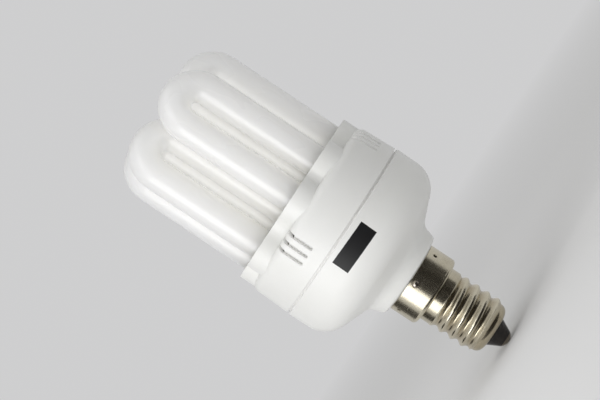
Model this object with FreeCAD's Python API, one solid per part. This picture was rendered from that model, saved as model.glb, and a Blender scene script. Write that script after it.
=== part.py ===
import FreeCAD, Part
import math
import os

from FreeCAD import Vector

# Compact fluorescent lamp: six U-bent glass tubes on a plastic ballast housing with an E14 screw cap.
# Millimetres. +Z is the lamp's axis, from the cap up to the tubes. The origin is the tip of the contact.
# The tubes stand in rows along X of one, two, two and one, so their legs fill a square grid less its corners.

# Glass tubes
TUBE_DIAMETER = 7.3
LEG_PITCH = 9.9
TUBE_PROJECTION = 37.0
LEG_DEPTH = 8.7
LEG_END_CHAMFER = 1.4
BRIDGE_DIAMETER = 3.0
BRIDGE_DROP = 6.6

# Cover that holds the tubes
COLLAR_WALL = 2.1
COLLAR_HEIGHT = 3.5
SIDE_VALLEY_RADIUS = 2.0
CORNER_VALLEY_RADIUS = 4.0
COLLAR_LEDGE = 0.45
COVER_SHOULDER_ROUND = 2.0
COVER_SKIRT_HEIGHT = 9.8
COVER_SKIRT_FLARE = 0.4
COVER_WALL = 1.2
PLATE_THICKNESS = 1.8
POCKET_WALL = 1.3
CEMENT_DEPTH = 1.8
BORE_CLEARANCE = 0.15
VENT_GROUPS = 4
VENT_ANGLE = 46.5
VENT_SLITS = 3
VENT_WIDTH = 0.8
VENT_PITCH = 2.15
VENT_FOOT = 3.3
VENT_REACH = 2.7

# Seam between the cover and the housing
SEAM_GAP = 0.5
SEAM_STEP = 0.15
SEAM_LEDGE = 0.5
TONGUE_WALL = 1.0
TONGUE_HEADROOM = 0.4
TONGUE_CLEARANCE = 0.1
SNAP_BEAD = 0.25
SNAP_BEAD_RISE = 2.0

# Ballast housing
HOUSING_WALL = 1.6
HOUSING_WALL_HEIGHT = 10.2
HOUSING_TAPER = 0.2
HOUSING_SHOULDER_ROUND = 7.0
HOUSING_RIM_ROUND = 0.3
CONE_RISE = 4.4
NECK_TOP_RADIUS = 11.3
NECK_TAPER = 1.1
NECK_HEIGHT = 3.7
NECK_FILLET = 3.0
NECK_LIP_ROUND = 1.0
SPIGOT_DEPTH = 5.3
SPIGOT_WALL = 1.4
RIB_COUNT = 4
RIB_ANGLE = 45
RIB_THICKNESS = 1.2
RIB_LENGTH = 2.2

# E14 screw cap
CAP_SHEET = 0.3
CAP_SKIRT_DIAMETER = 17.0
CAP_SKIRT_HEIGHT = 7.0
CAP_LIP_GAP = 0.25
CAP_ROUND_SHARE = 0.52
CAP_INNER_ROUND_SHARE = 0.34
CAP_CLEARANCE = 0.05
CAP_RING_DIAMETER = 13.5
CAP_RING_HEIGHT = 2.4
CAP_RING_RUN = 1.2
THREAD_DIAMETER = 13.8
THREAD_ROOT_DIAMETER = 12.2
THREAD_PITCH = 2.822
THREAD_LENGTH = 11.5
THREAD_RUN_OUT = 1.0
THREAD_START_ANGLE = -51
CAP_NOSE_HEIGHT = 1.9
CAP_NOSE_ROUND_SHARE = 0.95
CAP_NOSE_INNER_SHARE = 0.8
CAP_NOSE_BORE_DIAMETER = 7.3
STAKE_COUNT = 3
STAKE_DIAMETER = 1.1
STAKE_DEPTH = 0.6
STAKE_DROP = 2.0
STAKE_ANGLE = -55.6
STAKE_CLEARANCE = 0.05

# Cap insulator and centre contact
INSULATOR_HEIGHT = 3.2
INSULATOR_SEAT = 1.0
INSULATOR_BORE_DIAMETER = 3.2
CONTACT_DIAMETER = 4.0
CONTACT_HEIGHT = 1.0
CONTACT_STEM_HEIGHT = 2.6
CONTACT_STEM_CLEARANCE = 0.05

# Board, wires and solder of the ballast
BOARD_THICKNESS = 1.6
BOARD_CLEARANCE = 0.25
BOARD_DROP = 2.4
PIN_DIAMETER = 0.6
PIN_CLEARANCE = 0.1
PIN_TAIL = 0.8
WIRE_DIAMETER = 0.6
WIRE_CLEARANCE = 0.1
ELECTRODE_SPREAD = 2.0
NEUTRAL_ANGLE = -115.6
SOLDER_DIAMETER = 1.7
SOLDER_HEIGHT = 0.45
SOLDER_DROP = 1.6
SOLDER_HOLE_DIAMETER = 0.7

# Ballast parts under the board
FUSE_DIAMETER = 2.8
FUSE_LENGTH = 8.0
FUSE_RISE = 8.4
SMOOTHING_DIAMETER = 8.0
SMOOTHING_HEIGHT = 9.0
SMOOTHING_PIN_SPAN = 3.5
SMOOTHING_PLACE = (0.8, -8.8)
CHOKE_WIDTH = 10.2
CHOKE_CORE_DEPTH = 4.6
CHOKE_CORE_HEIGHT = 6.6
CHOKE_YOKE = 1.4
CHOKE_LEG = 1.6
CHOKE_CENTRE_LEG = 2.6
CHOKE_BASE = 1.0
CHOKE_FLANGE = 0.5
CHOKE_SLEEVE = 0.4
CHOKE_COIL_DEPTH = 8.4
CHOKE_GAP = 0.1
CHOKE_PIN_SPAN = 6.4
CHOKE_PLACE = (9.3, 3.0)
TOROID_DIAMETER = 9.0
TOROID_BORE_DIAMETER = 4.6
TOROID_HEIGHT = 4.0
TOROID_WIRE = 0.5
TOROID_COILS = 3
TOROID_COIL_ANGLE = 50
TOROID_PLACE = (-7.8, 7.4)
FILM_LENGTH = 7.2
FILM_THICKNESS = 3.6
FILM_HEIGHT = 6.8
FILM_ROUND = 0.8
FILM_PIN_SPAN = 5.0
RESONANCE_PLACE = (10.0, -7.4)
BLOCKING_PLACE = (2.6, 12.0)
TRANSISTOR_DIAMETER = 4.6
TRANSISTOR_FLAT = 1.3
TRANSISTOR_HEIGHT = 4.6
TRANSISTOR_PIN_PITCH = 1.27
TRANSISTOR_PLACES = [(-12.6, -1.2), (-12.6, -6.9)]
DIODE_DIAMETER = 2.4
DIODE_LENGTH = 3.4
DIODE_PLACES = [(-7.2, -13.6), (-4.2, -14.8), (-1.2, -15.6), (1.8, -15.6)]
RESISTOR_DIAMETER = 1.8
RESISTOR_LENGTH = 3.2
RESISTOR_PLACES = [(9.2, -11.0), (9.2, -13.6), (-10.6, -10.7)]
DIAC_PLACE = (9.4, 11.0)
LEAD_STUB = 0.6

# Heights, worked out from the tip of the contact upwards
TONGUE_HEIGHT = COVER_SKIRT_HEIGHT - COVER_WALL - TONGUE_HEADROOM
Z_INSULATOR = CONTACT_HEIGHT
Z_SHELL = Z_INSULATOR + INSULATOR_HEIGHT
Z_THREAD = Z_SHELL + CAP_NOSE_HEIGHT
Z_PLUG = Z_THREAD + CAP_SHEET + INSULATOR_SEAT
Z_RING = Z_THREAD + THREAD_LENGTH
Z_SHOULDER = Z_RING + CAP_RING_HEIGHT
Z_LIP = Z_SHOULDER + CAP_SKIRT_HEIGHT
Z_CAP_TOP = Z_LIP - CAP_LIP_GAP
Z_SPIGOT = Z_LIP - SPIGOT_DEPTH
Z_NECK = Z_LIP + NECK_HEIGHT
Z_CONE = Z_NECK + CONE_RISE
Z_SEAM = Z_CONE + HOUSING_WALL_HEIGHT
Z_COVER = Z_SEAM + SEAM_GAP
Z_COLLAR = Z_COVER + COVER_SKIRT_HEIGHT
Z_RIM = Z_COLLAR + COLLAR_HEIGHT
Z_TOP = Z_RIM + TUBE_PROJECTION
Z_PLATE = Z_RIM - PLATE_THICKNESS
Z_LEG_END = Z_RIM - LEG_DEPTH
Z_BOARD = Z_SEAM - BOARD_DROP
Z_PIN_END = Z_BOARD + BOARD_THICKNESS + PIN_TAIL

# Radii, worked out from the tube layout outwards
TUBE_RADIUS = TUBE_DIAMETER / 2
HALF_PITCH = LEG_PITCH / 2
LOBE_RADIUS = TUBE_RADIUS + COLLAR_WALL
COVER_TOP_RADIUS = math.hypot(HALF_PITCH, HALF_PITCH + LEG_PITCH) + LOBE_RADIUS + COLLAR_LEDGE
COVER_RADIUS = COVER_TOP_RADIUS + COVER_SKIRT_FLARE
COVER_BORE_RADIUS = COVER_RADIUS - COVER_WALL
HOUSING_RADIUS = COVER_RADIUS + SEAM_STEP
HOUSING_FOOT_RADIUS = HOUSING_RADIUS - HOUSING_TAPER
CONE_SLOPE = CONE_RISE / (HOUSING_FOOT_RADIUS - NECK_TOP_RADIUS)
TONGUE_RADIUS = COVER_BORE_RADIUS - TONGUE_CLEARANCE
TONGUE_BORE_RADIUS = TONGUE_RADIUS - TONGUE_WALL
BOARD_RADIUS = TONGUE_BORE_RADIUS - BOARD_CLEARANCE
CAP_SKIRT_RADIUS = CAP_SKIRT_DIAMETER / 2
CAP_SKIRT_BORE = CAP_SKIRT_RADIUS - CAP_SHEET
CAP_RING_RADIUS = CAP_RING_DIAMETER / 2
CAP_LEDGE = CAP_SKIRT_RADIUS - CAP_RING_RADIUS
SPIGOT_RADIUS = CAP_SKIRT_BORE - CAP_CLEARANCE
SPIGOT_BORE_RADIUS = SPIGOT_RADIUS - SPIGOT_WALL
THREAD_RADIUS = THREAD_DIAMETER / 2
ROOT_RADIUS = THREAD_ROOT_DIAMETER / 2
SHELL_BORE_RADIUS = ROOT_RADIUS - 2 * CAP_SHEET
CAP_NOSE_ROUND = CAP_NOSE_ROUND_SHARE * CAP_NOSE_HEIGHT
NOSE_BORE_RADIUS = CAP_NOSE_BORE_DIAMETER / 2
INSULATOR_BORE = INSULATOR_BORE_DIAMETER / 2
CONTACT_RADIUS = CONTACT_DIAMETER / 2
PIN_RADIUS = PIN_DIAMETER / 2
WIRE_RADIUS = WIRE_DIAMETER / 2

ORIGIN = Vector(0, 0, 0)
ALONG_X = Vector(1, 0, 0)
ALONG_Y = Vector(0, 1, 0)
UP = Vector(0, 0, 1)


def tubes():
    """The six U tubes, each by the column and row of its middle in half pitches from the axis."""
    return [(0, -3), (-2, -1), (2, -1), (-2, 1), (2, 1), (0, 3)]


def legs():
    """The twelve legs, two to each tube."""
    return [(column + side, row) for column, row in tubes() for side in (-1, 1)]


def outer_legs():
    """The eight legs on the outside, in turn round the axis."""
    return [(3, 1), (1, 3), (-1, 3), (-3, 1), (-3, -1), (-1, -3), (1, -3), (3, -1)]


def bridges():
    """The pairs of legs that are blown together, which make one run of the six tubes."""
    return [((-1, -3), (-1, -1)), ((-3, -1), (-3, 1)), ((-1, 1), (-1, 3)),
            ((1, 3), (1, 1)), ((3, 1), (3, -1))]


def electrode_legs():
    """The two legs at the ends of the run."""
    return [(1, -1), (1, -3)]


def leg_place(leg, z):
    """Point on a leg's axis."""
    return Vector(leg[0] * HALF_PITCH, leg[1] * HALF_PITCH, z)


def polar(radius, degrees, z=0.0):
    """Point at a radius and an angle about the lamp's axis."""
    angle = math.radians(degrees)
    return Vector(radius * math.cos(angle), radius * math.sin(angle), z)


def rounded_wire(corners):
    """Closed wire in the XZ plane through (x, z, round) corners, each round a tangent arc."""
    stations = []
    for i, (x, z, radius) in enumerate(corners):
        corner = Vector(x, 0, z)
        if radius == 0:
            stations.append((corner, None, corner))
            continue
        before, after = corners[i - 1], corners[(i + 1) % len(corners)]
        back = (Vector(before[0], 0, before[1]) - corner).normalize()
        ahead = (Vector(after[0], 0, after[1]) - corner).normalize()
        half = back.getAngle(ahead) / 2
        inward = (back + ahead).normalize()
        reach = radius / math.tan(half)
        middle = corner + inward * (radius / math.sin(half) - radius)
        stations.append((corner + back * reach, middle, corner + ahead * reach))
    edges = []
    for i, (start, middle, end) in enumerate(stations):
        if middle is not None:
            edges.append(Part.Arc(start, middle, end).toShape())
        following = stations[(i + 1) % len(stations)][0]
        edges.append(Part.LineSegment(end, following).toShape())
    return Part.Wire(edges)


def turned(corners):
    """Solid turned about the lamp's axis from a half section of (radius, z, round) corners."""
    return Part.Face(rounded_wire(corners)).revolve(ORIGIN, UP, 360)


def ring(inner, outer, low, high):
    """Plain ring about the lamp's axis."""
    return turned([(inner, low, 0), (outer, low, 0), (outer, high, 0), (inner, high, 0)])


def rod(radius, start, end):
    """Round rod between two points."""
    return Part.makeCylinder(radius, start.distanceToPoint(end), start, end - start)


def block(size_x, size_y, low, high, centre):
    """Upright block about a centre (x, y)."""
    corner = Vector(centre[0] - size_x / 2, centre[1] - size_y / 2, low)
    return Part.makeBox(size_x, size_y, high - low, corner)


def repeated(shape, count, first_angle):
    """Copies of a shape turned evenly about the lamp's axis."""
    copies = []
    for i in range(count):
        copy = shape.copy()
        copy.rotate(ORIGIN, UP, first_angle + i * 360 / count)
        copies.append(copy)
    return copies


def lobed_prism(inset, low, high):
    """Prism whose outline follows the eight outer legs, with hollows between them, set in from the collar."""
    lobe = LOBE_RADIUS - inset
    around = outer_legs()
    centres = [leg_place(leg, low) for leg in around]
    valleys = []
    for i, (leg, first) in enumerate(zip(around, centres)):
        second = centres[(i + 1) % len(centres)]
        following_leg = around[(i + 1) % len(around)]
        in_one_line = leg[0] == following_leg[0] or leg[1] == following_leg[1]
        valley = (SIDE_VALLEY_RADIUS if in_one_line else CORNER_VALLEY_RADIUS) + inset
        across = second - first
        middle = (first + second) / 2
        outward = Vector(across.y, -across.x, 0).normalize()
        height = math.sqrt((lobe + valley) ** 2 - (across.Length / 2) ** 2)
        hub = middle + outward * height
        start = first + (hub - first).normalize() * lobe
        end = second + (hub - second).normalize() * lobe
        valleys.append((start, middle + outward * (height - valley), end))
    edges = []
    for i, (start, floor, end) in enumerate(valleys):
        centre = centres[(i + 1) % len(centres)]
        following = valleys[(i + 1) % len(valleys)][0]
        crown = centre + ((end - centre) + (following - centre)).normalize() * lobe
        edges.append(Part.Arc(start, floor, end).toShape())
        edges.append(Part.Arc(end, crown, following).toShape())
    return Part.Face(Part.Wire(edges)).extrude(UP * (high - low))


def leg_cores(radius, low, high):
    """A round core for each leg."""
    return [rod(radius, leg_place(leg, low), leg_place(leg, high)) for leg in legs()]


def glass_tube():
    """Sealed glass vessel: six U tubes joined in one run by five bridges."""
    z_bend = Z_TOP - TUBE_RADIUS - HALF_PITCH
    z_bridge = Z_RIM - BRIDGE_DROP
    foot = TUBE_RADIUS - LEG_END_CHAMFER
    profile = [(0, Z_LEG_END, 0), (foot, Z_LEG_END, 0), (TUBE_RADIUS, Z_LEG_END + LEG_END_CHAMFER, 0),
               (TUBE_RADIUS, z_bend, 0), (0, z_bend, 0)]
    pieces = []
    for leg in legs():
        straight = turned(profile)
        straight.translate(leg_place(leg, 0))
        pieces.append(straight)
    for column, row in tubes():
        circle = Part.makeCircle(TUBE_RADIUS, leg_place((column - 1, row), z_bend), UP)
        section = Part.Face(Part.Wire([circle]))
        pieces.append(section.revolve(leg_place((column, row), z_bend), ALONG_Y, 180))
    for first, second in bridges():
        pieces.append(rod(BRIDGE_DIAMETER / 2, leg_place(first, z_bridge), leg_place(second, z_bridge)))
    return pieces[0].fuse(pieces[1:]).removeSplitter()


def vent_cutters():
    """Upright slits over the shoulder of the cover, one group in each corner hollow."""
    half = VENT_WIDTH / 2
    z_foot = Z_COVER + VENT_FOOT + half
    inner = COVER_TOP_RADIUS - VENT_REACH
    length = COVER_RADIUS + COVER_WALL - inner
    cutters = []
    for i in range(VENT_SLITS):
        offset = (i - (VENT_SLITS - 1) / 2) * VENT_PITCH
        slit = Part.makeBox(length, VENT_WIDTH, Z_RIM - z_foot, Vector(inner, offset - half, z_foot))
        foot = rod(half, Vector(inner, offset, z_foot), Vector(inner + length, offset, z_foot))
        cutters += repeated(slit.fuse(foot), VENT_GROUPS, VENT_ANGLE)
    return cutters


def snap_ring(root, tip, half_width):
    """Ring of triangular section at the snap bead's height."""
    z = Z_COVER + SNAP_BEAD_RISE
    return turned([(root, z - half_width, 0), (tip, z, 0), (root, z + half_width, 0)])


def tube_cover():
    """Moulded cover: lobed collar with twelve bores, rounded shoulder, vented skirt."""
    z_under = Z_COLLAR - COVER_WALL
    body = turned([(0, Z_COVER, 0), (COVER_RADIUS, Z_COVER, 0),
                   (COVER_TOP_RADIUS, Z_COLLAR, COVER_SHOULDER_ROUND), (0, Z_COLLAR, 0)])
    body = body.fuse(lobed_prism(0, z_under, Z_RIM))
    z_tongue = Z_COVER + TONGUE_HEIGHT + TONGUE_CLEARANCE
    cavity = turned([(0, Z_COVER, 0), (COVER_BORE_RADIUS, Z_COVER, 0), (COVER_BORE_RADIUS, z_tongue, 0),
                     (COVER_TOP_RADIUS - COVER_WALL, z_under, COVER_SHOULDER_ROUND - COVER_WALL),
                     (0, z_under, 0)])
    pocket = lobed_prism(POCKET_WALL, z_under - COVER_WALL, Z_PLATE)
    groove = snap_ring(COVER_BORE_RADIUS - SNAP_BEAD, COVER_BORE_RADIUS + SNAP_BEAD, 3 * SNAP_BEAD)
    cores = leg_cores(TUBE_RADIUS + BORE_CLEARANCE, Z_PLATE - COVER_WALL, Z_RIM + COVER_WALL)
    return body.cut([cavity, pocket, groove] + cores + vent_cutters()).removeSplitter()


def tube_cement():
    """Bonding compound that fills the collar's pocket round the legs."""
    fill = lobed_prism(POCKET_WALL, Z_PLATE - CEMENT_DEPTH, Z_PLATE)
    return fill.cut(leg_cores(TUBE_RADIUS, Z_PLATE - 2 * CEMENT_DEPTH, Z_RIM))


def stake_spots(radius):
    """Staking points on the cap's skirt at a radius, with their inward directions."""
    angles = [STAKE_ANGLE + i * 360 / STAKE_COUNT for i in range(STAKE_COUNT)]
    return [(polar(radius, angle, Z_LIP - STAKE_DROP), polar(-1, angle)) for angle in angles]


def stake_cups(grow):
    """Inner side of the dished punch marks, larger all round by a margin."""
    mouth = STAKE_DIAMETER / 2 + CAP_SHEET / 2 + grow
    depth = STAKE_DEPTH + CAP_SHEET / 2 + grow
    spots = stake_spots(CAP_SKIRT_RADIUS - CAP_SHEET / 2)
    return [Part.makeCone(mouth, mouth / 2, depth, spot, inward) for spot, inward in spots]


def stake_dishes():
    """Outer side of the dished punch marks."""
    mouth = STAKE_DIAMETER / 2
    depth = STAKE_DEPTH + CAP_SHEET / 2
    spots = stake_spots(CAP_SKIRT_RADIUS + CAP_SHEET / 2)
    return [Part.makeCone(mouth, mouth / 2, depth, spot, inward) for spot, inward in spots]


def cone_height(radius):
    """Height of the housing's outer cone at a radius."""
    return Z_NECK + CONE_SLOPE * (radius - NECK_TOP_RADIUS)


def ballast_housing():
    """Moulded bell that holds the ballast, with a tongue for the cover and a spigot for the cap."""
    outer = turned([(0, Z_SPIGOT, 0), (SPIGOT_RADIUS, Z_SPIGOT, 0), (SPIGOT_RADIUS, Z_LIP, 0),
                    (NECK_TOP_RADIUS - NECK_TAPER, Z_LIP, NECK_LIP_ROUND),
                    (NECK_TOP_RADIUS, Z_NECK, NECK_FILLET),
                    (HOUSING_FOOT_RADIUS, Z_CONE, HOUSING_SHOULDER_ROUND),
                    (HOUSING_RADIUS, Z_SEAM, HOUSING_RIM_ROUND), (0, Z_SEAM, 0)])
    lift = HOUSING_WALL * math.hypot(1, CONE_SLOPE)
    bore = HOUSING_FOOT_RADIUS - HOUSING_WALL
    cavity = turned([(0, Z_SPIGOT, 0), (SPIGOT_BORE_RADIUS, Z_SPIGOT, 0),
                     (SPIGOT_BORE_RADIUS, cone_height(SPIGOT_BORE_RADIUS) + lift, 0),
                     (bore, cone_height(bore) + lift, HOUSING_SHOULDER_ROUND - HOUSING_WALL),
                     (bore, Z_SEAM, 0), (0, Z_SEAM, 0)])
    seat = ring(TONGUE_BORE_RADIUS, COVER_BORE_RADIUS + SEAM_LEDGE, Z_SEAM, Z_COVER)
    tongue = ring(TONGUE_BORE_RADIUS, TONGUE_RADIUS, Z_BOARD, Z_COVER + TONGUE_HEIGHT)
    bead = snap_ring(TONGUE_RADIUS - SNAP_BEAD, TONGUE_RADIUS + SNAP_BEAD, 2 * SNAP_BEAD)
    rib = Part.makeBox(RIB_LENGTH + HOUSING_WALL / 2, RIB_THICKNESS, Z_BOARD - Z_NECK,
                       Vector(bore - RIB_LENGTH, -RIB_THICKNESS / 2, Z_NECK))
    ribs = [copy.common(outer) for copy in repeated(rib, RIB_COUNT, RIB_ANGLE)]
    slot = WIRE_DIAMETER + WIRE_CLEARANCE
    groove = Part.makeBox(2 * slot, slot + WIRE_CLEARANCE, SPIGOT_DEPTH,
                          Vector(SPIGOT_RADIUS - slot, -(slot + WIRE_CLEARANCE) / 2, Z_SPIGOT))
    groove.rotate(ORIGIN, UP, NEUTRAL_ANGLE)
    shell = outer.cut(cavity).fuse([seat, tongue, bead] + ribs)
    return shell.cut(stake_cups(STAKE_CLEARANCE) + [groove]).removeSplitter()


def solder_plug():
    """Solder in the hole through the cap's skirt, from the neutral lead out to the bead."""
    z = Z_LIP - SOLDER_DROP
    start = polar(SPIGOT_RADIUS - WIRE_RADIUS, NEUTRAL_ANGLE, z)
    end = polar(CAP_SKIRT_RADIUS + SOLDER_HEIGHT / 2, NEUTRAL_ANGLE, z)
    return rod(SOLDER_HOLE_DIAMETER / 2, start, end)


def screw_core(inset, low, high):
    """Round-threaded core: a circle off the axis that climbs a helix, set in from the thread's outer face."""
    eccentricity = (THREAD_RADIUS - ROOT_RADIUS) / 2
    spine = Part.Wire(Part.makeHelix(THREAD_PITCH, high - low, eccentricity).Edges)
    circle = Part.makeCircle((THREAD_RADIUS + ROOT_RADIUS) / 2 - inset, Vector(eccentricity, 0, 0), UP)
    sweep = Part.BRepOffsetAPI.MakePipeShell(spine)
    sweep.setTrihedronMode(ORIGIN, UP)
    sweep.add(Part.Wire([circle]))
    sweep.build()
    sweep.makeSolid()
    core = sweep.shape()
    core.rotate(ORIGIN, UP, THREAD_START_ANGLE + (low - Z_SHELL) / THREAD_PITCH * 360)
    core.translate(UP * low)
    return core


def nose_filling(low):
    """Half section of the room inside the nose, from a height below its rim up to the plug's top."""
    inner_round = CAP_NOSE_INNER_SHARE * (SHELL_BORE_RADIUS - NOSE_BORE_RADIUS)
    return [(NOSE_BORE_RADIUS, low, 0), (NOSE_BORE_RADIUS, Z_SHELL + CAP_SHEET, 0),
            (SHELL_BORE_RADIUS, Z_SHELL + CAP_SHEET, inner_round), (SHELL_BORE_RADIUS, Z_PLUG, 0)]


def cap_shell():
    """Drawn metal cap: staked skirt, smooth ring, screw thread and turned-in nose."""
    ring_bore = CAP_RING_RADIUS - CAP_SHEET
    nose = turned([(0, Z_SHELL, 0), (ROOT_RADIUS, Z_SHELL, CAP_NOSE_ROUND), (ROOT_RADIUS, Z_THREAD, 0),
                   (THREAD_RADIUS, Z_THREAD + THREAD_RUN_OUT, 0),
                   (THREAD_RADIUS + CAP_SHEET, Z_RING - CAP_RING_RUN, 0),
                   (CAP_RING_RADIUS, Z_RING, 0), (0, Z_RING, 0)])
    skirt = turned([(0, Z_RING - CAP_RING_RUN, 0), (ROOT_RADIUS - CAP_SHEET, Z_RING - CAP_RING_RUN, 0),
                    (CAP_RING_RADIUS, Z_RING, 0), (CAP_RING_RADIUS, Z_SHOULDER, 0),
                    (CAP_SKIRT_RADIUS, Z_SHOULDER, CAP_ROUND_SHARE * CAP_LEDGE),
                    (CAP_SKIRT_RADIUS, Z_CAP_TOP, 0), (0, Z_CAP_TOP, 0)])
    nose_bore = turned([(0, Z_SHELL, 0)] + nose_filling(Z_SHELL) + [(0, Z_PLUG, 0)])
    skirt_bore = turned([(0, Z_RING, 0), (SHELL_BORE_RADIUS, Z_RING, 0),
                         (ring_bore, Z_RING + CAP_RING_HEIGHT / 2, 0), (ring_bore, Z_SHOULDER + CAP_SHEET, 0),
                         (CAP_SKIRT_BORE, Z_SHOULDER + CAP_SHEET, CAP_INNER_ROUND_SHARE * CAP_LEDGE),
                         (CAP_SKIRT_BORE, Z_LIP, 0), (0, Z_LIP, 0)])
    shell = screw_core(0, Z_SHELL, Z_RING).common(nose).fuse(skirt)
    shell = shell.cut([nose_bore, screw_core(CAP_SHEET, Z_PLUG, Z_RING), skirt_bore])
    return shell.fuse(stake_cups(0)).cut(stake_dishes() + [solder_plug()])


def cap_insulator():
    """Glass plug of the cap, a cone outside the nose and a filling inside it."""
    return turned([(INSULATOR_BORE, Z_INSULATOR, 0), (CONTACT_RADIUS, Z_INSULATOR, 0)] + nose_filling(Z_SHELL)
                  + [(INSULATOR_BORE, Z_PLUG, 0)])


def centre_contact():
    """Domed contact button with a stem in the insulator's bore."""
    stem = INSULATOR_BORE - CONTACT_STEM_CLEARANCE
    dome = (CONTACT_RADIUS ** 2 + CONTACT_HEIGHT ** 2) / (2 * CONTACT_HEIGHT)
    button = Part.makeSphere(dome, UP * dome).common(Part.makeCylinder(CONTACT_RADIUS, CONTACT_HEIGHT))
    return button.fuse(Part.makeCylinder(stem, CONTACT_STEM_HEIGHT, UP * CONTACT_HEIGHT))


def side_solder():
    """Solder bead on the cap's skirt, which fills the hole behind it and holds the neutral lead."""
    half = SOLDER_DIAMETER / 2
    radius = (half ** 2 + SOLDER_HEIGHT ** 2) / (2 * SOLDER_HEIGHT)
    centre = polar(CAP_SKIRT_RADIUS + SOLDER_HEIGHT - radius, NEUTRAL_ANGLE, Z_LIP - SOLDER_DROP)
    bead = Part.makeSphere(radius, centre).cut(Part.makeCylinder(CAP_SKIRT_RADIUS, Z_LIP))
    return bead.fuse(solder_plug()).cut(neutral_lead())


def neutral_lead():
    """Wire from the board down the neck, round the spigot's end and up to the hole in the cap's skirt."""
    inner = SPIGOT_BORE_RADIUS - WIRE_RADIUS - WIRE_CLEARANCE
    outer = SPIGOT_RADIUS - WIRE_RADIUS
    z_turn = Z_SPIGOT - WIRE_CLEARANCE
    start, low = polar(inner, NEUTRAL_ANGLE, Z_PIN_END), polar(inner, NEUTRAL_ANGLE, z_turn)
    bottom = polar((inner + outer) / 2, NEUTRAL_ANGLE, z_turn - (outer - inner) / 2)
    out, end = polar(outer, NEUTRAL_ANGLE, z_turn), polar(outer, NEUTRAL_ANGLE, Z_LIP - SOLDER_DROP / 2)
    path = Part.Wire([Part.LineSegment(start, low).toShape(), Part.Arc(low, bottom, out).toShape(),
                      Part.LineSegment(out, end).toShape()])
    return path.makePipeShell([Part.Wire([Part.makeCircle(WIRE_RADIUS, start, UP)])], True, False)


def electrode_wires():
    """Places of the four electrode wires."""
    places = []
    for leg in electrode_legs():
        foot = leg_place(leg, 0)
        places += [(foot.x - ELECTRODE_SPREAD / 2, foot.y), (foot.x + ELECTRODE_SPREAD / 2, foot.y)]
    return places


def electrode_leads():
    """Four wires from the ends of the glass down through the board."""
    return Part.makeCompound([rod(PIN_RADIUS, Vector(x, y, Z_BOARD - PIN_TAIL), Vector(x, y, Z_LEG_END))
                              for x, y in electrode_wires()])


def pair_along(direction, centre, span):
    """Two places on a line through a centre, a span apart."""
    dx, dy = direction.x * span / 2, direction.y * span / 2
    return [(centre[0] - dx, centre[1] - dy), (centre[0] + dx, centre[1] + dy)]


def choke_pins():
    """Places of the choke's four pins, at the corners of its base."""
    return [place for side in pair_along(ALONG_X, CHOKE_PLACE, CHOKE_PIN_SPAN)
            for place in pair_along(ALONG_Y, side, CHOKE_PIN_SPAN)]


def transistor_pins(centre):
    """Places of a transistor's three pins."""
    return [centre] + pair_along(ALONG_Y, centre, 2 * TRANSISTOR_PIN_PITCH)


def axial_span(length):
    """Distance between the two bent leads of a part that lies on the board."""
    return length + 2 * LEAD_STUB


def pinned(body, places):
    """Part seated under the board, with its pins through the board."""
    return body.fuse([rod(PIN_RADIUS, Vector(x, y, Z_BOARD), Vector(x, y, Z_PIN_END)) for x, y in places])


def circuit_board():
    """Round board with a hole for each pin and wire."""
    neutral = polar(SPIGOT_BORE_RADIUS - WIRE_RADIUS - WIRE_CLEARANCE, NEUTRAL_ANGLE)
    places = [(0, 0), (neutral.x, neutral.y)] + electrode_wires() + choke_pins()
    places += pair_along(ALONG_X, SMOOTHING_PLACE, SMOOTHING_PIN_SPAN)
    places += pair_along(ALONG_X, DIAC_PLACE, axial_span(RESISTOR_LENGTH))
    for centre in (RESONANCE_PLACE, BLOCKING_PLACE):
        places += pair_along(ALONG_X, centre, FILM_PIN_SPAN)
    for centre in TRANSISTOR_PLACES:
        places += transistor_pins(centre)
    for centre in DIODE_PLACES:
        places += pair_along(ALONG_Y, centre, axial_span(DIODE_LENGTH))
    for centre in RESISTOR_PLACES:
        places += pair_along(ALONG_X, centre, axial_span(RESISTOR_LENGTH))
    board = Part.makeCylinder(BOARD_RADIUS, BOARD_THICKNESS, Vector(0, 0, Z_BOARD))
    holes = [Part.makeCylinder(PIN_RADIUS + PIN_CLEARANCE, BOARD_THICKNESS, Vector(x, y, Z_BOARD))
             for x, y in places]
    return board.cut(holes)


def fuse_resistor():
    """Fusible resistor on the axis inside the cap, its leads running from the contact up to the board."""
    z_body = Z_THREAD + FUSE_RISE
    body = Part.makeCylinder(FUSE_DIAMETER / 2, FUSE_LENGTH, Vector(0, 0, z_body))
    z_stem = CONTACT_HEIGHT + CONTACT_STEM_HEIGHT
    return body.fuse(rod(PIN_RADIUS, Vector(0, 0, z_stem), Vector(0, 0, Z_PIN_END)))


def smoothing_capacitor():
    """Electrolytic can that hangs under the board."""
    low = Z_BOARD - SMOOTHING_HEIGHT
    can = Part.makeCylinder(SMOOTHING_DIAMETER / 2, SMOOTHING_HEIGHT, Vector(*SMOOTHING_PLACE, low))
    return pinned(can, pair_along(ALONG_X, SMOOTHING_PLACE, SMOOTHING_PIN_SPAN))


def choke_window(low, high):
    """The two windows of the choke's core as one block, less the centre leg."""
    span = CHOKE_WIDTH - 2 * CHOKE_LEG
    window = block(span, CHOKE_COIL_DEPTH, low, high, CHOKE_PLACE)
    return window.cut(block(CHOKE_CENTRE_LEG, CHOKE_CORE_DEPTH, low, high, CHOKE_PLACE))


def choke_levels():
    """Heights of the choke core's foot and top, and of its windows."""
    top = Z_BOARD - CHOKE_BASE
    foot = top - CHOKE_CORE_HEIGHT
    return foot, top, foot + CHOKE_YOKE, top - CHOKE_YOKE


def choke_core():
    """Ferrite core of two E halves, with a window on each side of its centre leg."""
    foot, top, low, high = choke_levels()
    return block(CHOKE_WIDTH, CHOKE_CORE_DEPTH, foot, top, CHOKE_PLACE).cut(choke_window(low, high))


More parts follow.
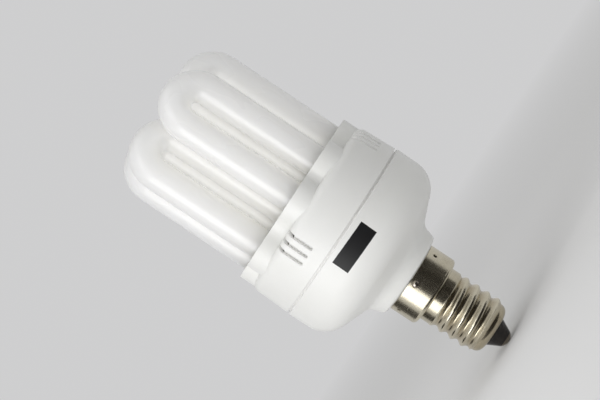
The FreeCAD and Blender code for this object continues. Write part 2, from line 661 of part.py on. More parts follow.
def choke_bobbin():
    """Bobbin in the core's windows: flanges, a sleeve round the centre leg, and a pin base on the board."""
    foot, top, low, high = choke_levels()
    gap = 2 * CHOKE_GAP
    flange_x = CHOKE_WIDTH - 2 * CHOKE_LEG - gap
    sleeve_x = CHOKE_CENTRE_LEG + gap + 2 * CHOKE_SLEEVE
    sleeve_y = CHOKE_CORE_DEPTH + gap + 2 * CHOKE_SLEEVE
    spool = block(flange_x, CHOKE_COIL_DEPTH, low, low + CHOKE_FLANGE, CHOKE_PLACE).fuse([
        block(flange_x, CHOKE_COIL_DEPTH, high - CHOKE_FLANGE, high, CHOKE_PLACE),
        block(sleeve_x, sleeve_y, low, high, CHOKE_PLACE)])
    spool = spool.cut(block(CHOKE_CENTRE_LEG + gap, CHOKE_CORE_DEPTH + gap, low, high, CHOKE_PLACE))
    base = block(CHOKE_WIDTH, CHOKE_COIL_DEPTH, top, Z_BOARD, CHOKE_PLACE)
    cheek = (CHOKE_COIL_DEPTH - CHOKE_CORE_DEPTH) / 2 - CHOKE_GAP
    cheeks = [block(flange_x, cheek, high, top, place)
              for place in pair_along(ALONG_Y, CHOKE_PLACE, CHOKE_COIL_DEPTH - cheek)]
    return pinned(spool.fuse([base] + cheeks), choke_pins())


def choke_winding():
    """Copper winding on the bobbin's sleeve, between its flanges."""
    foot, top, low, high = choke_levels()
    gap = 2 * CHOKE_GAP
    coil = block(CHOKE_WIDTH - 2 * CHOKE_LEG - 2 * gap, CHOKE_COIL_DEPTH - gap,
                 low + CHOKE_FLANGE, high - CHOKE_FLANGE, CHOKE_PLACE)
    sleeve_x = CHOKE_CENTRE_LEG + gap + 2 * CHOKE_SLEEVE
    sleeve_y = CHOKE_CORE_DEPTH + gap + 2 * CHOKE_SLEEVE
    return coil.cut(block(sleeve_x, sleeve_y, low, high, CHOKE_PLACE))


def toroid_ring(grow):
    """The toroid's core about the lamp's axis, larger all round by a margin."""
    z_top = Z_BOARD - TOROID_WIRE
    return ring(TOROID_BORE_DIAMETER / 2 - grow, TOROID_DIAMETER / 2 + grow,
                z_top - TOROID_HEIGHT - grow, z_top + grow)


def toroid_core():
    """Ferrite ring of the drive transformer."""
    core = toroid_ring(0)
    core.translate(Vector(*TOROID_PLACE, 0))
    return core


def toroid_coils():
    """The drive transformer's windings, each round one stretch of the ring."""
    sleeve = toroid_ring(TOROID_WIRE).cut(toroid_ring(0))
    sector = Part.makeCylinder(TOROID_DIAMETER, Z_COVER, ORIGIN, UP, TOROID_COIL_ANGLE)
    coils = Part.makeCompound([sleeve.common(copy) for copy in repeated(sector, TOROID_COILS, 90)])
    coils.translate(Vector(*TOROID_PLACE, 0))
    return coils


def film_capacitor(centre):
    """Dipped film capacitor with rounded ends."""
    body = block(FILM_LENGTH, FILM_THICKNESS, Z_BOARD - FILM_HEIGHT, Z_BOARD, centre)
    upright = [edge for edge in body.Edges if abs(edge.tangentAt(edge.FirstParameter).z) > 0.9]
    return pinned(body.makeFillet(FILM_ROUND, upright), pair_along(ALONG_X, centre, FILM_PIN_SPAN))


def transistor(centre):
    """Transistor with a flat face and three pins."""
    radius = TRANSISTOR_DIAMETER / 2
    low = Z_BOARD - TRANSISTOR_HEIGHT
    body = Part.makeCylinder(radius, TRANSISTOR_HEIGHT, Vector(*centre, low))
    beyond_flat = (centre[0] + TRANSISTOR_FLAT + radius / 2, centre[1])
    cut_away = block(radius, TRANSISTOR_DIAMETER, low, Z_BOARD, beyond_flat)
    return pinned(body.cut(cut_away), transistor_pins(centre))


def axial_part(centre, direction, diameter, length):
    """Small round part that lies against the board, its leads bent up through the board."""
    z = Z_BOARD - diameter / 2
    middle = Vector(*centre, z)
    body = rod(diameter / 2, middle - direction * (length / 2), middle + direction * (length / 2))
    rise = UP * (Z_PIN_END - z)
    leads = []
    for way in (direction, direction * -1):
        face = middle + way * (length / 2)
        corner = face + way * LEAD_STUB
        bend = corner + (UP - way) * (LEAD_STUB * (1 - math.sqrt(0.5)))
        path = Part.Wire([Part.LineSegment(middle, face).toShape(),
                          Part.Arc(face, bend, corner + UP * LEAD_STUB).toShape(),
                          Part.LineSegment(corner + UP * LEAD_STUB, corner + rise).toShape()])
        section = Part.Wire([Part.makeCircle(PIN_RADIUS, middle, way)])
        leads.append(path.makePipeShell([section], True, False))
    return body.fuse(leads)


def resonance_capacitor():
    """Capacitor across the tube."""
    return film_capacitor(RESONANCE_PLACE)


def blocking_capacitor():
    """Capacitor in line with the tube."""
    return film_capacitor(BLOCKING_PLACE)


def transistor_one():
    """First switching transistor."""
    return transistor(TRANSISTOR_PLACES[0])


def transistor_two():
    """Second switching transistor."""
    return transistor(TRANSISTOR_PLACES[1])


def rectifier_diodes():
    """Four diodes of the bridge rectifier."""
    return Part.makeCompound([axial_part(c, ALONG_Y, DIODE_DIAMETER, DIODE_LENGTH) for c in DIODE_PLACES])


def resistors():
    """Base and start resistors."""
    return Part.makeCompound([axial_part(c, ALONG_X, RESISTOR_DIAMETER, RESISTOR_LENGTH)
                              for c in RESISTOR_PLACES])


def trigger_diac():
    """Trigger diode that starts the oscillation."""
    return axial_part(DIAC_PLACE, ALONG_X, RESISTOR_DIAMETER, RESISTOR_LENGTH)


PIECES = [
    glass_tube, electrode_leads, tube_cement, tube_cover, ballast_housing,
    cap_shell, cap_insulator, centre_contact, side_solder, neutral_lead,
    circuit_board, fuse_resistor, smoothing_capacitor, choke_core, choke_bobbin, choke_winding,
    toroid_core, toroid_coils, resonance_capacitor, blocking_capacitor,
    transistor_one, transistor_two, rectifier_diodes, resistors, trigger_diac,
]


def main():
    os.makedirs("parts", exist_ok=True)
    for piece in PIECES:
        shape = piece()
        shape.exportStep(os.path.join("parts", piece.__name__ + ".step"))
        print(piece.__name__, len(shape.Solids), round(shape.Volume, 2))


main()
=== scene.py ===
# %% [markdown]
# # A compact fluorescent lamp, dressed for a studio picture
# The lamp's solids come from CAD and are already right in shape and place. This script gives each of
# them a finish, sets up a plain studio, and puts the camera where the picture was taken from.

# %% Load the lamp
import math

import bpy
from mathutils import Matrix, Vector


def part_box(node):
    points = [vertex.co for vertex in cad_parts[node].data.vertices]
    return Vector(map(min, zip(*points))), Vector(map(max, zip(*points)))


MM_PER_M = 1000

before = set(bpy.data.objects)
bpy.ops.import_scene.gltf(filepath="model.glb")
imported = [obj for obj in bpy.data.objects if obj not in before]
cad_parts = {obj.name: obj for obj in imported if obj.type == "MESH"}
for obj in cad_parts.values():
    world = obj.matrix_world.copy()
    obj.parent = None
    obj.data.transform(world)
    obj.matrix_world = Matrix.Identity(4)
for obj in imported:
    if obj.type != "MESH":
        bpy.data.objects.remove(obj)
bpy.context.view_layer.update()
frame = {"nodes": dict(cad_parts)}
lamp_nodes = frame["nodes"]
print("pieces of the lamp:", len(lamp_nodes))

# %% [markdown]
# Some finishes change along the lamp: at a rim, at a foot or with the radius. Where such a place is the
# end of a solid, it is read from the frame, so that it follows the solid. Places within a solid, such as
# the slits of the cover, are given where they are used.


# %% Places read from the solids
def corners_mm(name):
    """A node's lowest and highest corners, in millimetres."""
    return [corner * MM_PER_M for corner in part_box(name)]


cover_low, cover_high = corners_mm("tube_cover")
_, cap_high = corners_mm("cap_shell")
_, contact_high = corners_mm("centre_contact")
COVER_FOOT = cover_low.z
RIM_HEIGHT = cover_high.z
SKIRT_RADIUS = cap_high.x
CONTACT_RADIUS = contact_high.x
print("cover from", round(COVER_FOOT, 2), "to", round(RIM_HEIGHT, 2), "mm")
print("radius of the skirt", round(SKIRT_RADIUS, 2), "and of the contact", round(CONTACT_RADIUS, 2), "mm")

# %% [markdown]
# ## Writing finishes as sums
# A finish is a tree of nodes. Placing nodes one by one hides the thought behind them, so a small class
# wraps an output socket and lets ordinary arithmetic add the Math nodes. Every other kind of node comes
# from one method.


# %% A socket that can be added, subtracted, multiplied and divided
class Socket:
    """An output socket in a finish's node tree."""

    def __init__(self, tree, output=None):
        self.tree = tree
        self.output = output

    def node(self, kind, settings=None, inputs=None, output=0):
        """Add a node, set it up, feed its inputs, and return one of its outputs."""
        made = self.tree.nodes.new(kind)
        for key, value in (settings or {}).items():
            setattr(made, key, value)
        for key, value in (inputs or {}).items():
            if isinstance(value, Socket):
                self.tree.links.new(value.output, made.inputs[key])
            else:
                made.inputs[key].default_value = value
        return Socket(self.tree, made.outputs[output])

    def also(self, name):
        """Another output of the same node."""
        return Socket(self.tree, self.output.node.outputs[name])

    def maths(self, operation, first, second=0.0, clamp=False):
        """The result of a Math node."""
        settings = {"operation": operation, "use_clamp": clamp}
        return self.node("ShaderNodeMath", settings, {0: first, 1: second})

    def clamped(self):
        """The same value, kept between zero and one."""
        return self.maths("ADD", self, 0.0, clamp=True)

    def __add__(self, other):
        return self.maths("ADD", self, other)

    def __sub__(self, other):
        return self.maths("SUBTRACT", self, other)

    def __rsub__(self, other):
        return self.maths("SUBTRACT", other, self)

    def __mul__(self, other):
        return self.maths("MULTIPLY", self, other)

    def __truediv__(self, other):
        return self.maths("DIVIDE", self, other)


print("sockets take", ", ".join(name for name in vars(Socket) if not name.startswith("__")))

# %% [markdown]
# ## The parts of every finish
# Each finish starts from the point on the piece. The frame is in metres, and the sizes on a lamp are
# easier to think of in millimetres, so the point is scaled first. A UV map would be another way to place
# a pattern, but noise in space needs no unwrapping and runs over edges with no seam. In the sums that
# follow, each weight says how strongly one pattern counts.


# %% An empty finish, and the point on the piece
def new_finish(name):
    """An empty material and a socket to start its tree from."""
    material = bpy.data.materials.new(name)
    material.use_nodes = True
    material.node_tree.nodes.clear()
    return material, Socket(material.node_tree)


def place_mm(start):
    """The point on the piece, in millimetres of the lamp's frame."""
    point = start.node("ShaderNodeTexCoord", output="Object")
    return start.node("ShaderNodeMapping", {}, {"Vector": point, "Scale": (MM_PER_M, MM_PER_M, MM_PER_M)})


def axes(point):
    """The three coordinates of a point."""
    x = point.node("ShaderNodeSeparateXYZ", {}, {0: point}, output="X")
    return x, x.also("Y"), x.also("Z")


print("finishes count", MM_PER_M, "millimetres to the metre")

# %% Noise, colours and relief
EDGE_SAMPLES = 6
NOISE_MIDDLE = 0.5


def grain(point, size, detail=2.0, stretch=(1, 1, 1)):
    """Even noise about zero, with spots of about this size in the point's own unit."""
    scale = tuple(part / size for part in stretch)
    mapped = point.node("ShaderNodeMapping", {}, {"Vector": point, "Scale": scale})
    noise = point.node("ShaderNodeTexNoise", {}, {"Vector": mapped, "Scale": 1.0, "Detail": detail})
    return noise - NOISE_MIDDLE


def blend(factor, low, high):
    """A colour between two colours."""
    settings = {"data_type": "RGBA", "clamp_factor": True}
    return factor.node("ShaderNodeMix", settings, {0: factor, 6: low, 7: high}, output=2)


def relief(height, distance, edge=0.0):
    """A normal raised by a height in the range of one, over a distance in millimetres, with soft edges."""
    inputs = {"Height": height, "Distance": distance / MM_PER_M}
    if edge:
        settings = {"samples": EDGE_SAMPLES}
        inputs["Normal"] = height.node("ShaderNodeBevel", settings, {"Radius": edge / MM_PER_M})
    return height.node("ShaderNodeBump", {}, inputs)


print("soft edges take", EDGE_SAMPLES, "samples")


# %% Closing a finish, and giving it to pieces
def close_tree(shader, kind="ShaderNodeOutputMaterial"):
    """Put a shader on its tree's output."""
    output = shader.tree.nodes.new(kind)
    shader.tree.links.new(shader.output, output.inputs["Surface"])


def close_finish(start, **inputs):
    """End a finish in one shader; an underscore in an input's name stands for a space."""
    named = {key.replace("_", " "): value for key, value in inputs.items()}
    close_tree(start.node("ShaderNodeBsdfPrincipled", {}, named))


def dress(material, *names):
    """Give a finish to nodes of the lamp."""
    for name in names:
        for slot in lamp_nodes[name].material_slots:
            slot.material = material
    print(material.name, "->", ", ".join(names))


print("to be dressed:", ", ".join(lamp_nodes))

# %% [markdown]
# ## Milky glass
# The tubes are clear glass with a white powder on the inside. Seen from outside that is a matt white
# under a soft sheen. Light that enters one side comes out at the other, so here the white is subsurface
# light under a clear coat, and each wall lets a share of the light pass on its way to what stands behind
# it: the tube's shadow is only a half shadow. A plain white would give dark gaps between the legs. The
# powder lies a little unevenly, and near the collar the glass is browned by the heated ends.

# %% Glass
WARM_REACH = 9.0
WARM_SHARE = 0.7
WALL_PASSES = 0.85
POWDER_SPOTS = 9.0
DRAWN_WAVES = 3.0
WAVE_DEPTH = 0.0006
THIN_SHARE = 0.42
GLASS_ROUGH = 0.28
GLASS_WHITE = (0.985, 0.978, 0.942, 1)
GLASS_THIN = (0.973, 0.963, 0.91, 1)
GLASS_WARM = (0.985, 0.955, 0.85, 1)
GLASS_GLOW = {"Subsurface_Weight": 1.0, "Subsurface_Radius": (1.0, 0.99, 0.92), "Subsurface_Scale": 0.03}

milky_glass, start = new_finish("milky_glass")
point = place_mm(start)
_, _, height = axes(point)
powder = grain(point, POWDER_SPOTS, detail=3.0, stretch=(1, 1, 0.35))
waves = grain(point, DRAWN_WAVES, detail=1.0, stretch=(1, 1, 0.05))
white = blend((powder * 1.6 + THIN_SHARE).clamped(), GLASS_WHITE, GLASS_THIN)
warm = ((RIM_HEIGHT + WARM_REACH - height) / WARM_REACH + powder).clamped()
shadow = start.node("ShaderNodeLightPath", output="Is Shadow Ray")
close_finish(start, Base_Color=blend(warm * WARM_SHARE, white, GLASS_WARM),
             Roughness=powder * 0.10 + GLASS_ROUGH, Coat_Weight=0.6, Coat_Roughness=0.3,
             Alpha=1 - shadow * WALL_PASSES, Normal=relief(waves, WAVE_DEPTH), **GLASS_GLOW)
dress(milky_glass, "glass_tube")

# %% [markdown]
# ## White moulded plastic
# The cover and the housing are one plastic from one shop: a white with a satin skin left by a
# fine-blasted mould. A little light goes into it, which keeps thin edges from going dark. Inside the vent
# slits and along the seam the skin is smooth and the colour is a lighter white, painted light against the
# shade that falls in these narrow recesses.

# %% Moulded skin shared by both mouldings
PLASTIC_LIGHT = (0.86, 0.862, 0.845, 1)
PLASTIC_DARK = (0.80, 0.80, 0.775, 1)
# A lighter white, painted into the slits and the seam against the shade that falls there.
PAINTED_RECESS_LIGHT = (0.975, 0.972, 0.955, 1)
DARK_SHARE = 0.38
PLASTIC_ROUGH = 0.40
CLOUD_SIZE = 14.0
SKIN_GRAIN = 0.35
SKIN_DEPTH = 0.012
MOULDED_EDGE = 0.18
PLASTIC_GLOW = {"Subsurface_Weight": 0.25, "Subsurface_Radius": (1, 1, 0.95), "Subsurface_Scale": 0.0012}


def moulded_skin(point):
    """Colour, roughness and skin height of the blasted plastic."""
    clouds = grain(point, CLOUD_SIZE, detail=3.0)
    skin = grain(point, SKIN_GRAIN)
    colour = blend((clouds * 1.3 + skin * 0.25 + DARK_SHARE).clamped(), PLASTIC_LIGHT, PLASTIC_DARK)
    rough = clouds * 0.10 + skin * 0.06 + PLASTIC_ROUGH
    return colour, rough, skin


print("plastic between", PLASTIC_LIGHT[:3], "and", PLASTIC_DARK[:3])

# %% [markdown]
# The slits stand in four groups round the cover, and three punch marks stand round the cap's skirt.
# Masks for them could be painted by hand. It is shorter to fold the angle about the axis into one
# repeat, as a paper fan is folded: what is drawn once on the fold is then found at every place.

# %% Masks about the lamp's axis
MASK_EDGE = 0.02
SPARE_REPEATS = 4


def from_axis(x, y):
    """Distance of a point from the axis."""
    return x.maths("SQRT", x * x + y * y)


def round_axis(x, y):
    """Angle of a point about the axis."""
    return x.maths("ARCTAN2", y, x)


def folded(angle, first, repeat):
    """Angle from the nearest of the places that repeat; spare repeats keep the modulo above zero."""
    return angle.maths("MODULO", angle - first + repeat * (SPARE_REPEATS + 0.5), repeat) - repeat / 2


def inside(depth):
    """One where a depth in millimetres is above zero, with a narrow soft edge outside."""
    return (depth / MASK_EDGE + 1).clamped()


print("masks fade over", MASK_EDGE, "mm")

# %% Cover, with painted light inside its slits
SLIT_FOOT = 49.32
SLIT_TOP = 55.48
SLIT_ANGLE = math.radians(46.5)
SLIT_REPEAT = math.radians(90)
SLIT_PITCH = 2.15
SLIT_HALF_WIDTH = 0.4

cover_plastic, start = new_finish("cover_plastic")
point = place_mm(start)
colour, rough, skin = moulded_skin(point)
x, y, height = axes(point)
from_middle = from_axis(x, y) * start.maths("SINE", folded(round_axis(x, y), SLIT_ANGLE, SLIT_REPEAT))
aside = start.maths("ABSOLUTE", from_middle)
outer_slit = start.maths("GREATER_THAN", aside, SLIT_PITCH / 2) * SLIT_PITCH
from_slit = start.maths("ABSOLUTE", aside - outer_slit)
in_slit = inside(SLIT_HALF_WIDTH - from_slit) * inside(height - SLIT_FOOT) * inside(SLIT_TOP - height)
# Painted light: inside the slits and at the cover's foot the colour turns a lighter white, against the
# shade in these recesses, and the skin is smooth.
lightened_recess = (in_slit + inside(COVER_FOOT - height)).clamped()
close_finish(start, Base_Color=blend(lightened_recess, colour, PAINTED_RECESS_LIGHT), Roughness=rough,
             Normal=relief(skin * (1 - lightened_recess), SKIN_DEPTH, MOULDED_EDGE), **PLASTIC_GLOW)
dress(cover_plastic, "tube_cover")

# %% [markdown]
# The housing carries one printed black field on its outer wall. A separate thin plate would stand proud
# of the wall, and ink doesn't, so the field is part of the finish: the distance to a slightly turned
# rectangle, laid round the bell. The ink lies flat, so the grain of the skin is levelled under it.

# %% Housing with its printed field
FIELD_ANGLE = math.radians(-113.4)
FIELD_RADIUS = 22.3
FIELD_HEIGHT = 41.8
FIELD_HALF_WIDTH = 5.55
FIELD_HALF_HEIGHT = 2.1
FIELD_TURN = math.radians(-1.8)
FIELD_EDGE = 0.08
HALF_WALL = 0.8
SEAM_WIDTH = 0.5
INK = (0.006, 0.006, 0.007, 1)
INK_SPREAD = 0.1
INK_SPOTS = 0.4
INK_LEVELS = 0.9
INK_DULLS = 0.1

housing_plastic, start = new_finish("housing_plastic")
point = place_mm(start)
colour, rough, skin = moulded_skin(point)
x, y, height = axes(point)
around = (round_axis(x, y) - FIELD_ANGLE) * FIELD_RADIUS
above = height - FIELD_HEIGHT
across = around * math.cos(FIELD_TURN) + above * math.sin(FIELD_TURN)
along = above * math.cos(FIELD_TURN) - around * math.sin(FIELD_TURN)
outside = start.maths("MAXIMUM", start.maths("ABSOLUTE", across) - FIELD_HALF_WIDTH,
                      start.maths("ABSOLUTE", along) - FIELD_HALF_HEIGHT)
outer_wall = start.maths("GREATER_THAN", from_axis(x, y), FIELD_RADIUS - HALF_WALL)
printed = ((grain(point, INK_SPOTS) * INK_SPREAD - outside) / FIELD_EDGE).clamped() * outer_wall
# Painted light: along the seam the colour turns a lighter white, against the shade in the groove, and the
# skin is smooth.
lightened_recess = inside(height - (COVER_FOOT - SEAM_WIDTH))
levelled = skin * (1 - printed * INK_LEVELS) * (1 - lightened_recess)
outer = blend(printed, colour, INK)
close_finish(start, Base_Color=blend(lightened_recess, outer, PAINTED_RECESS_LIGHT), Roughness=rough + printed * INK_DULLS,
             Normal=relief(levelled, SKIN_DEPTH, MOULDED_EDGE), **PLASTIC_GLOW)
dress(housing_plastic, "ballast_housing")

# %% [markdown]
# ## The metal cap
# The cap is drawn from thin brass and nickel plated. Drawing leaves fine lines round it, use keeps the
# crests of the thread bright, and a brown tarnish stays in the roots. The radius from the axis tells
# crest from root, and the screwed part from the skirt, which is rubbed a little less. Three punch marks
# hold the skirt, and they are painted nearly black. The contact at the tip is a small button whose colour
# is a painted reflection: dark, as if it mirrored dark surroundings, and lighter in the middle.

# %% Nickel plate
THREAD_ROOT = 6.1
THREAD_CREST = 6.9
SKIRT_BAND = 0.5
MARK_ANGLE = math.radians(-55.6)
MARK_REPEAT = math.radians(120)
MARK_HEIGHT = 25.0
MARK_RADIUS = 0.5
MARK_EDGE = 0.15
LINE_WIDTH = 0.25
LINE_DEPTH = 0.004
STAIN_SIZE = 3.5
METAL_EDGE = 0.1
DULL_SHARE = 0.05
PLATE_ROUGH = 0.25
NICKEL = (0.68, 0.63, 0.50, 1)
TARNISH = (0.34, 0.27, 0.165, 1)
# The punch marks are painted nearly black.
MARK_BLACK = (0.030, 0.022, 0.015, 1)

nickel_plate, start = new_finish("nickel_plate")
point = place_mm(start)
x, y, height = axes(point)
radius = from_axis(x, y)
lines = grain(point, LINE_WIDTH, stretch=(0.03, 0.03, 1))
stains = grain(point, STAIN_SIZE, detail=4.0)
aside = folded(round_axis(x, y), MARK_ANGLE, MARK_REPEAT) * SKIRT_RADIUS
above = height - MARK_HEIGHT
from_mark = start.maths("SQRT", aside * aside + above * above)
mark = ((MARK_RADIUS - from_mark) / MARK_EDGE + stains).clamped()
root = ((THREAD_CREST - radius) / (THREAD_CREST - THREAD_ROOT)).clamped()
rubbed = (SKIRT_RADIUS - radius - SKIRT_BAND).clamped()
dull = (root * 0.45 + stains * 0.7 + DULL_SHARE).clamped()
plate = blend(dull, NICKEL, TARNISH)
rough = (dull * 0.10 + lines * 0.08 + mark * 0.4 - rubbed * 0.04 + PLATE_ROUGH).clamped()
close_finish(start, Base_Color=blend(mark, plate, MARK_BLACK), Metallic=1.0, Roughness=rough,
             Normal=relief(lines, LINE_DEPTH, METAL_EDGE))
dress(nickel_plate, "cap_shell")

# %% Contact button, a painted dark reflection, lighter in the middle
SCRATCH_SIZE = 0.3
SCRATCH_DEPTH = 0.008
CONTACT_ROUGH = 0.14
CONTACT_BRIGHT = (0.40, 0.36, 0.29, 1)
# A painted reflection: the contact is coloured dark, as if it mirrored dark surroundings.
CONTACT_DARK_REFLECTION = (0.10, 0.08, 0.06, 1)

contact_metal, start = new_finish("contact_metal")
point = place_mm(start)
x, y, _ = axes(point)
# Painted reflection: darker towards the rim, lighter in the middle.
rim = (from_axis(x, y) / CONTACT_RADIUS).clamped()
scratches = grain(point, SCRATCH_SIZE, detail=3.0, stretch=(1, 0.15, 1))
dull = (rim * 0.7 + scratches * 0.8).clamped()
close_finish(start, Base_Color=blend(dull, CONTACT_BRIGHT, CONTACT_DARK_REFLECTION), Metallic=1.0,
             Roughness=dull * 0.2 + CONTACT_ROUGH, Normal=relief(scratches, SCRATCH_DEPTH, METAL_EDGE))
dress(contact_metal, "centre_contact")

# %% [markdown]
# ## Everything else
# The black glass of the cap and the solder on its skirt show; the rest sits inside and is seen only when
# the lamp is taken apart. Each material still has its own colour, grain and polish: a speckle of a
# second colour, a matching change of roughness, and a little relief.

# %% A finish of two colours in grains
GRAIN_EDGE = 0.06
EVEN_SHARE = 0.5


def grained_finish(name, light, dark, size, rough, metallic=0.0, depth=0.02, stretch=(1, 1, 1), **more):
    """A material that wanders between two colours in grains of a size in millimetres."""
    material, start = new_finish(name)
    spots = grain(place_mm(start), size, detail=3.0, stretch=stretch)
    share = (spots * 1.8 + EVEN_SHARE).clamped()
    close_finish(start, Base_Color=blend(share, (*light, 1), (*dark, 1)), Metallic=metallic,
                 Roughness=spots * 0.2 + rough, Normal=relief(spots, depth, GRAIN_EDGE), **more)
    return material


dress(grained_finish("black_glass", (0.010, 0.009, 0.009), (0.024, 0.020, 0.017), size=1.2, rough=0.10,
                     depth=0.004, Specular_IOR_Level=0.3),
      "cap_insulator")
dress(grained_finish("solder", (0.66, 0.61, 0.53), (0.42, 0.37, 0.30), size=0.35, rough=0.26,
                     metallic=1.0, depth=0.04),
      "side_solder")
dress(grained_finish("tinned_wire", (0.70, 0.68, 0.64), (0.52, 0.49, 0.44), size=0.5, rough=0.3,
                     metallic=1.0),
      "electrode_leads", "neutral_lead")
dress(grained_finish("cement", (0.74, 0.71, 0.64), (0.60, 0.56, 0.48), size=0.6, rough=0.85, depth=0.08),
      "tube_cement")

# %% The board and what hangs under it
dress(grained_finish("board_laminate", (0.30, 0.17, 0.06), (0.20, 0.11, 0.04), size=0.8, rough=0.5,
                     stretch=(1, 0.2, 1)),
      "circuit_board")
dress(grained_finish("black_epoxy", (0.018, 0.018, 0.019), (0.035, 0.034, 0.033), size=0.2, rough=0.55),
      "transistor_one", "transistor_two", "rectifier_diodes")
dress(grained_finish("can_sleeve", (0.012, 0.016, 0.045), (0.020, 0.024, 0.06), size=1.5, rough=0.3),
      "smoothing_capacitor")
dress(grained_finish("film_dip", (0.02, 0.13, 0.05), (0.03, 0.17, 0.07), size=0.9, rough=0.25),
      "resonance_capacitor", "blocking_capacitor")
dress(grained_finish("resistor_lacquer", (0.52, 0.42, 0.26), (0.42, 0.32, 0.19), size=0.3, rough=0.45),
      "resistors", "trigger_diac", "fuse_resistor")
dress(grained_finish("ferrite", (0.030, 0.030, 0.032), (0.055, 0.053, 0.05), size=0.25, rough=0.6,
                     depth=0.04),
      "choke_core", "toroid_core")
dress(grained_finish("bobbin_plastic", (0.02, 0.02, 0.022), (0.03, 0.03, 0.03), size=0.5, rough=0.5),
      "choke_bobbin")
dress(grained_finish("copper_winding", (0.52, 0.17, 0.06), (0.30, 0.09, 0.03), size=0.22, rough=0.3,
                     metallic=1.0, depth=0.08, stretch=(0.1, 0.1, 1)),
      "choke_winding", "toroid_coils")

# %% [markdown]
# ## The camera
# The camera stands a little above the lamp's middle and looks straight across its axis. The picture
# shows the lamp leaning over, which is the camera's own roll.

# %% Camera
PICTURE_WIDTH = 600
PIXELS_PER_MM = 4.4
CAMERA_ANGLE = -109.6
CAMERA_DISTANCE = 0.450
CAMERA_ROLL = math.radians(56.5)
AIM_HEIGHT = 0.0573
AIM_RIGHT = 0.0006
NEAREST_SEEN = 0.01

away = Vector((math.cos(math.radians(CAMERA_ANGLE)), math.sin(math.radians(CAMERA_ANGLE)), 0))
upright = Vector((0, 0, 1))
right = upright.cross(away)
picture_right = right * math.cos(CAMERA_ROLL) - upright * math.sin(CAMERA_ROLL)
picture_up = right * math.sin(CAMERA_ROLL) + upright * math.cos(CAMERA_ROLL)
aim = upright * AIM_HEIGHT + right * AIM_RIGHT
stand = aim + away * CAMERA_DISTANCE

camera_data = bpy.data.cameras.new("camera")
camera_data.lens = PIXELS_PER_MM * CAMERA_DISTANCE * MM_PER_M / PICTURE_WIDTH * camera_data.sensor_width
camera_data.clip_start = NEAREST_SEEN
camera = bpy.data.objects.new("camera", camera_data)
bpy.context.collection.objects.link(camera)
turn = Matrix((picture_right, picture_up, away)).transposed()
camera.matrix_world = Matrix.Translation(stand) @ turn.to_4x4()
bpy.context.scene.camera = camera
print("camera", round(camera_data.lens, 1), "mm at", [round(v, 3) for v in stand])

# %% [markdown]
# ## The studio
# A pale floor takes the lamp's shadow near its foot. Farther out it turns into the plain backdrop
# colour, which the world shows as well, so no horizon is seen.

# %% Floor
BACKDROP = (0.62, 0.62, 0.625, 1)
PAPER = (0.90, 0.90, 0.905, 1)
FLOOR_SIZE = 8.0
SHADOW_REACH = 0.16
SHADOW_FADE = 0.30

bpy.ops.object.select_all(action="DESELECT")
bpy.ops.mesh.primitive_plane_add(size=FLOOR_SIZE, location=(0, 0, 0))
floor = bpy.context.object
floor.name = "floor"
floor_paper, start = new_finish("floor_paper")
point = start.node("ShaderNodeTexCoord", output="Object")
distance = start.node("ShaderNodeVectorMath", {"operation": "LENGTH"}, {0: point}, output="Value")
far = ((distance - SHADOW_REACH) / SHADOW_FADE).clamped()
paper = start.node("ShaderNodeBsdfDiffuse", {}, {"Color": PAPER})
glow = start.node("ShaderNodeEmission", {}, {"Color": BACKDROP, "Strength": 1.0})
close_tree(start.node("ShaderNodeMixShader", {}, {0: far, 1: paper, 2: glow}))
floor.data.materials.append(floor_paper)
print("floor of", FLOOR_SIZE, "m, plain beyond", SHADOW_REACH + SHADOW_FADE, "m")

# %% Sky that lights evenly and shows the backdrop
SKY_WHITE = (1.0, 0.998, 0.985, 1)
SKY_STRENGTH = 0.45

world = bpy.data.worlds.new("studio")
bpy.context.scene.world = world
world.use_nodes = True
world.node_tree.nodes.clear()
start = Socket(world.node_tree)
ray = start.node("ShaderNodeLightPath", output="Is Camera Ray")
shown = (ray + ray.also("Is Glossy Ray") + ray.also("Is Transmission Ray")).clamped()
sky = start.node("ShaderNodeBackground", {}, {"Color": SKY_WHITE, "Strength": SKY_STRENGTH})
backdrop = start.node("ShaderNodeBackground", {}, {"Color": BACKDROP, "Strength": 1.0})
close_tree(start.node("ShaderNodeMixShader", {}, {0: shown, 1: sky, 2: backdrop}), "ShaderNodeOutputWorld")
print("sky at", SKY_STRENGTH)

# %% [markdown]
# A soft panel on the left gives the broad bright bands on the tubes and the cap. One high in front fills
# the shaded side and glints on the thread, and one overhead keeps the bends bright. Grids on the panels
# keep their light from washing sideways over the floor.

# %% Lights
PANEL_SPREAD = math.radians(130)


def beside_camera(angle, distance, height):
    """A place at an angle to the right of the camera: its angle about the axis, and its point."""
    turned = math.radians(CAMERA_ANGLE + angle)
    return turned, Vector((math.cos(turned), math.sin(turned), 0)) * distance + upright * height


def softbox(name, angle, distance, height, width, tall, power):
    """A rectangular light that faces the point the camera aims at."""
    turned, spot = beside_camera(angle, distance, height)
    light = bpy.data.lights.new(name, "AREA")
    light.shape = "RECTANGLE"
    light.size = width
    light.size_y = tall
    light.energy = power
    light.spread = PANEL_SPREAD
    holder = bpy.data.objects.new(name, light)
    holder.visible_camera = False
    bpy.context.collection.objects.link(holder)
    facing = (spot - aim).to_track_quat("Z", "Y")
    holder.matrix_world = Matrix.Translation(spot) @ facing.to_matrix().to_4x4()
    print(name, "at", [round(v, 2) for v in spot], power, "W")


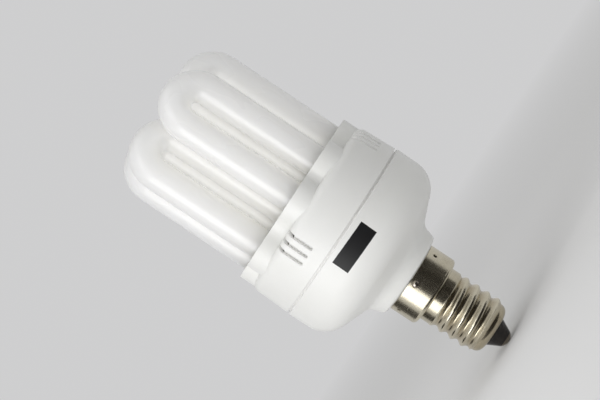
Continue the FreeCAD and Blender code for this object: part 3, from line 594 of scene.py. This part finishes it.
softbox("key_panel", angle=-45, distance=0.22, height=0.06, width=0.17, tall=0.12, power=0.103)
softbox("front_panel", angle=-20, distance=0.48, height=0.42, width=0.34, tall=0.30, power=0.27)
softbox("top_panel", angle=10, distance=0.15, height=0.75, width=0.40, tall=0.40, power=0.25)

# %% [markdown]
# Bare metal has no look of its own: it shows what stands round it, and among pale walls it turns flat
# and grey. Photographers stand black cards close to it, out of the picture, to give it depth. These
# cards do the same: a row in front, one beside the key panel, and one that lies in front of the cap.
# Only reflections see them, so they take no light away and hide nothing in another view.

# %% Black cards round the front
CARD_BLACK = (0.020, 0.016, 0.012, 1)
CARD_WEAVE = 0.002
CARD_DISTANCE = 0.10
CARD_TALL = 0.07
LYING_DISTANCE = 0.049
LYING_HEIGHT = 0.0005
CARD_ROUGH = 0.9
QUARTER_TURN = math.radians(90)

card_black, start = new_finish("card_black")
weave = grain(start.node("ShaderNodeTexCoord", output="Object"), CARD_WEAVE)
close_finish(start, Base_Color=CARD_BLACK, Roughness=weave * 0.1 + CARD_ROUGH)


def black_card(name, angle, width, tall=CARD_TALL, distance=CARD_DISTANCE, height=CARD_TALL / 2,
               lying=False):
    """A card that faces the axis, or lies flat."""
    turned, spot = beside_camera(angle, distance, height)
    tilt = 0 if lying else QUARTER_TURN
    bpy.ops.object.select_all(action="DESELECT")
    bpy.ops.mesh.primitive_plane_add(size=1, location=spot, rotation=(tilt, 0, turned + QUARTER_TURN))
    card = bpy.context.object
    card.name = name
    card.scale = (width, tall, 1)
    card.data.materials.append(card_black)
    card.visible_camera = False
    card.visible_diffuse = False
    card.visible_shadow = False
    print(name, "at", [round(v, 3) for v in spot])


black_card("card_left", angle=-102, width=0.065)
black_card("card_front", angle=-2, width=0.072)
black_card("card_near_right", angle=37, width=0.075)
black_card("card_right", angle=66, width=0.050)
black_card("card_lying", angle=10, width=0.10, tall=0.08, distance=LYING_DISTANCE, height=LYING_HEIGHT,
           lying=True)

# %% [markdown]
# ## Closing
# The finishes change no size.

# %% Plain colour transform and end
bpy.context.scene.view_settings.view_transform = "Standard"
